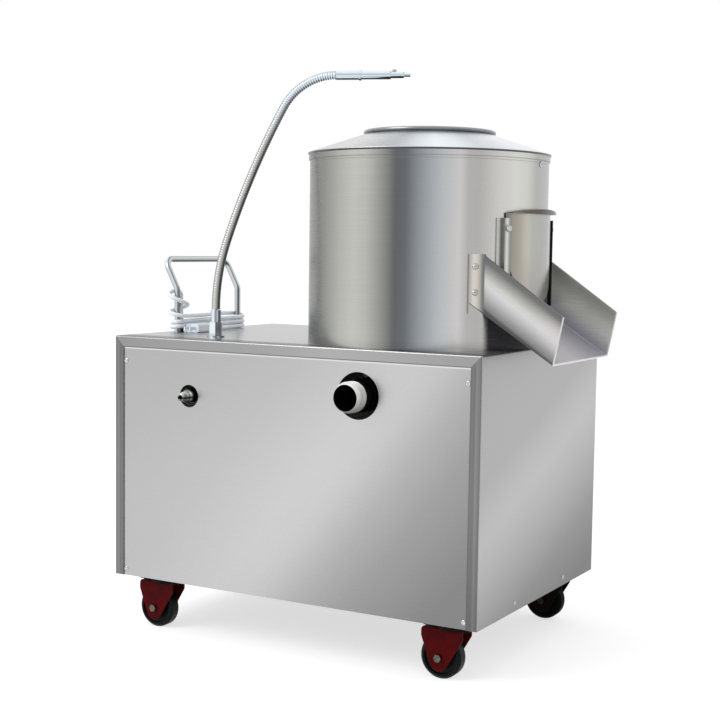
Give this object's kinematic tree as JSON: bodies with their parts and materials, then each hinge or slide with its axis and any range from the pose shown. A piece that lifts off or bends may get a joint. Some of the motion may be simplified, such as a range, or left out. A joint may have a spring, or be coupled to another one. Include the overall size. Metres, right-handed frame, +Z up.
{
  "type": "commercial potato peeler",
  "caption": "Stainless drum potato peeler on a wheeled cabinet, with a lifting discharge gate and open chute, a swivelling ribbed water gooseneck, a push handle and a wound cord.",
  "frame": {"origin": "on the floor under the middle of the whole machine's bounding box, all four wheels on Z = 0", "axes": "+Z up; +X towards the discharge chute's end; -Y towards the front with the water nipple and the drain; the push handle stands at the -X end"},
  "size_m": [0.857, 0.58, 1.0358],
  "materials": {
    "stainless": "brushed",
    "stainless_drum": "rolled, brushed",
    "stainless_screws": "satin",
    "bright_chrome": "polished",
    "frame_steel": "grey primer",
    "zinc_bolts": "zinc plated",
    "abrasive": "coarse grit",
    "cast_disc": "grit coated",
    "cast_iron": "machined and painted",
    "shaft_steel": "ground",
    "bearing_steel": "ground",
    "black_rubber": "matte",
    "caster_plate": "black",
    "caster_fork": "dark red enamel",
    "caster_tyre": "matte",
    "axle_zinc": "zinc plated",
    "white_pvc": "satin",
    "white_cord": "matte",
    "white_plug": "satin",
    "motor_paint": "satin",
    "holder_black": "satin",
    "button_green": "gloss",
    "button_red": "gloss"
  },
  "bodies": {
    "cabinet": {"cabinet_shell": "stainless", "front_panel": "stainless", "rear_panel": "stainless", "panel_screws": "stainless_screws", "base_frame": "frame_steel", "caster_bolts": "zinc_bolts", "frame_bolts": "zinc_bolts", "drum_shell": "stainless_drum", "drum_liner": "abrasive", "drum_floor": "stainless", "top_cover": "stainless", "feed_ring": "stainless", "port_rubber": "black_rubber", "gate_guides": "stainless", "lock_screws": "stainless_screws", "chute": "stainless", "drum_screws": "stainless_screws", "bearing_housing": "cast_iron", "bearings": "bearing_steel", "shaft_seal": "black_rubber", "v_belt": "black_rubber", "motor_bracket": "frame_steel", "motor_body": "motor_paint", "drain_elbow": "white_pvc", "drain_pipe": "white_pvc", "water_nipple": "bright_chrome", "water_pipe": "bright_chrome", "gooseneck_base": "bright_chrome", "push_handle": "bright_chrome", "cord_grommet": "black_rubber", "cord_lead": "white_cord", "cord_hank": "white_cord", "cord_tail": "white_cord", "cord_plug": "white_plug", "button_holders": "holder_black", "caster_plates": "caster_plate"},
    "spindle": {"spindle_shaft": "shaft_steel", "peeling_disc": "cast_disc", "disc_nut": "stainless_screws", "drum_pulley": "cast_iron"},
    "rotor": {"motor_shaft": "shaft_steel", "motor_pulley": "cast_iron"},
    "gate": {"gate": "stainless"},
    "gooseneck": {"swivel_collar": "bright_chrome", "gooseneck_hose": "bright_chrome", "nozzle": "bright_chrome"},
    "start_button": {"start_button": "button_green"},
    "stop_button": {"stop_button": "button_red"},
    "fork_front_right": {"caster_fork_front_right": "caster_fork", "caster_axle_front_right": "axle_zinc"},
    "wheel_front_right": {"caster_wheel_front_right": "caster_tyre"},
    "fork_front_left": {"caster_fork_front_left": "caster_fork", "caster_axle_front_left": "axle_zinc"},
    "wheel_front_left": {"caster_wheel_front_left": "caster_tyre"},
    "fork_rear_right": {"caster_fork_rear_right": "caster_fork", "caster_axle_rear_right": "axle_zinc"},
    "wheel_rear_right": {"caster_wheel_rear_right": "caster_tyre"},
    "fork_rear_left": {"caster_fork_rear_left": "caster_fork", "caster_axle_rear_left": "axle_zinc"},
    "wheel_rear_left": {"caster_wheel_rear_left": "caster_tyre"}
  },
  "joints": [
    {"name": "disc_spin", "type": "hinge", "parent": "cabinet", "child": "spindle", "pos_m": [0.1145, -0.019, 0.5], "axis": [0, 0, 1], "continuous": true},
    {"name": "motor_spin", "type": "hinge", "parent": "cabinet", "child": "rotor", "pos_m": [-0.1555, -0.019, 0.2], "axis": [0, 0, 1], "continuous": true},
    {"name": "gate_slide", "type": "slide", "parent": "cabinet", "child": "gate", "axis": [0, 0, 1], "range_m": [0, 0.075]},
    {"name": "gooseneck_swivel", "type": "hinge", "parent": "cabinet", "child": "gooseneck", "pos_m": [-0.2525, -0.156, 0.59], "axis": [0, 0, 1], "range_deg": [-90, 90]},
    {"name": "start_press", "type": "slide", "parent": "cabinet", "child": "start_button", "axis": [1, 0, 0], "range_m": [0, 0.0035], "stiffness_N_per_m": 400},
    {"name": "stop_press", "type": "slide", "parent": "cabinet", "child": "stop_button", "axis": [1, 0, 0], "range_m": [0, 0.0035], "stiffness_N_per_m": 400},
    {"name": "swivel_front_right", "type": "hinge", "parent": "cabinet", "child": "fork_front_right", "pos_m": [0.2695, -0.2, 0.08], "axis": [0, 0, 1], "continuous": true},
    {"name": "roll_front_right", "type": "hinge", "parent": "fork_front_right", "child": "wheel_front_right", "pos_m": [0.2495, -0.2, 0.0375], "axis": [0, 1, 0], "continuous": true},
    {"name": "swivel_front_left", "type": "hinge", "parent": "cabinet", "child": "fork_front_left", "pos_m": [-0.3265, -0.2, 0.08], "axis": [0, 0, 1], "continuous": true},
    {"name": "roll_front_left", "type": "hinge", "parent": "fork_front_left", "child": "wheel_front_left", "pos_m": [-0.3465, -0.2, 0.0375], "axis": [0, 1, 0], "continuous": true},
    {"name": "swivel_rear_right", "type": "hinge", "parent": "cabinet", "child": "fork_rear_right", "pos_m": [0.2695, 0.25, 0.08], "axis": [0, 0, 1], "continuous": true},
    {"name": "roll_rear_right", "type": "hinge", "parent": "fork_rear_right", "child": "wheel_rear_right", "pos_m": [0.2495, 0.25, 0.0375], "axis": [0, 1, 0], "continuous": true},
    {"name": "swivel_rear_left", "type": "hinge", "parent": "cabinet", "child": "fork_rear_left", "pos_m": [-0.3265, 0.25, 0.08], "axis": [0, 0, 1], "continuous": true},
    {"name": "roll_rear_left", "type": "hinge", "parent": "fork_rear_left", "child": "wheel_rear_left", "pos_m": [-0.3465, 0.25, 0.0375], "axis": [0, 1, 0], "continuous": true}
  ],
  "couplings": [
    {"joint": "motor_spin", "follows": "disc_spin", "ratio": 4}
  ]
}
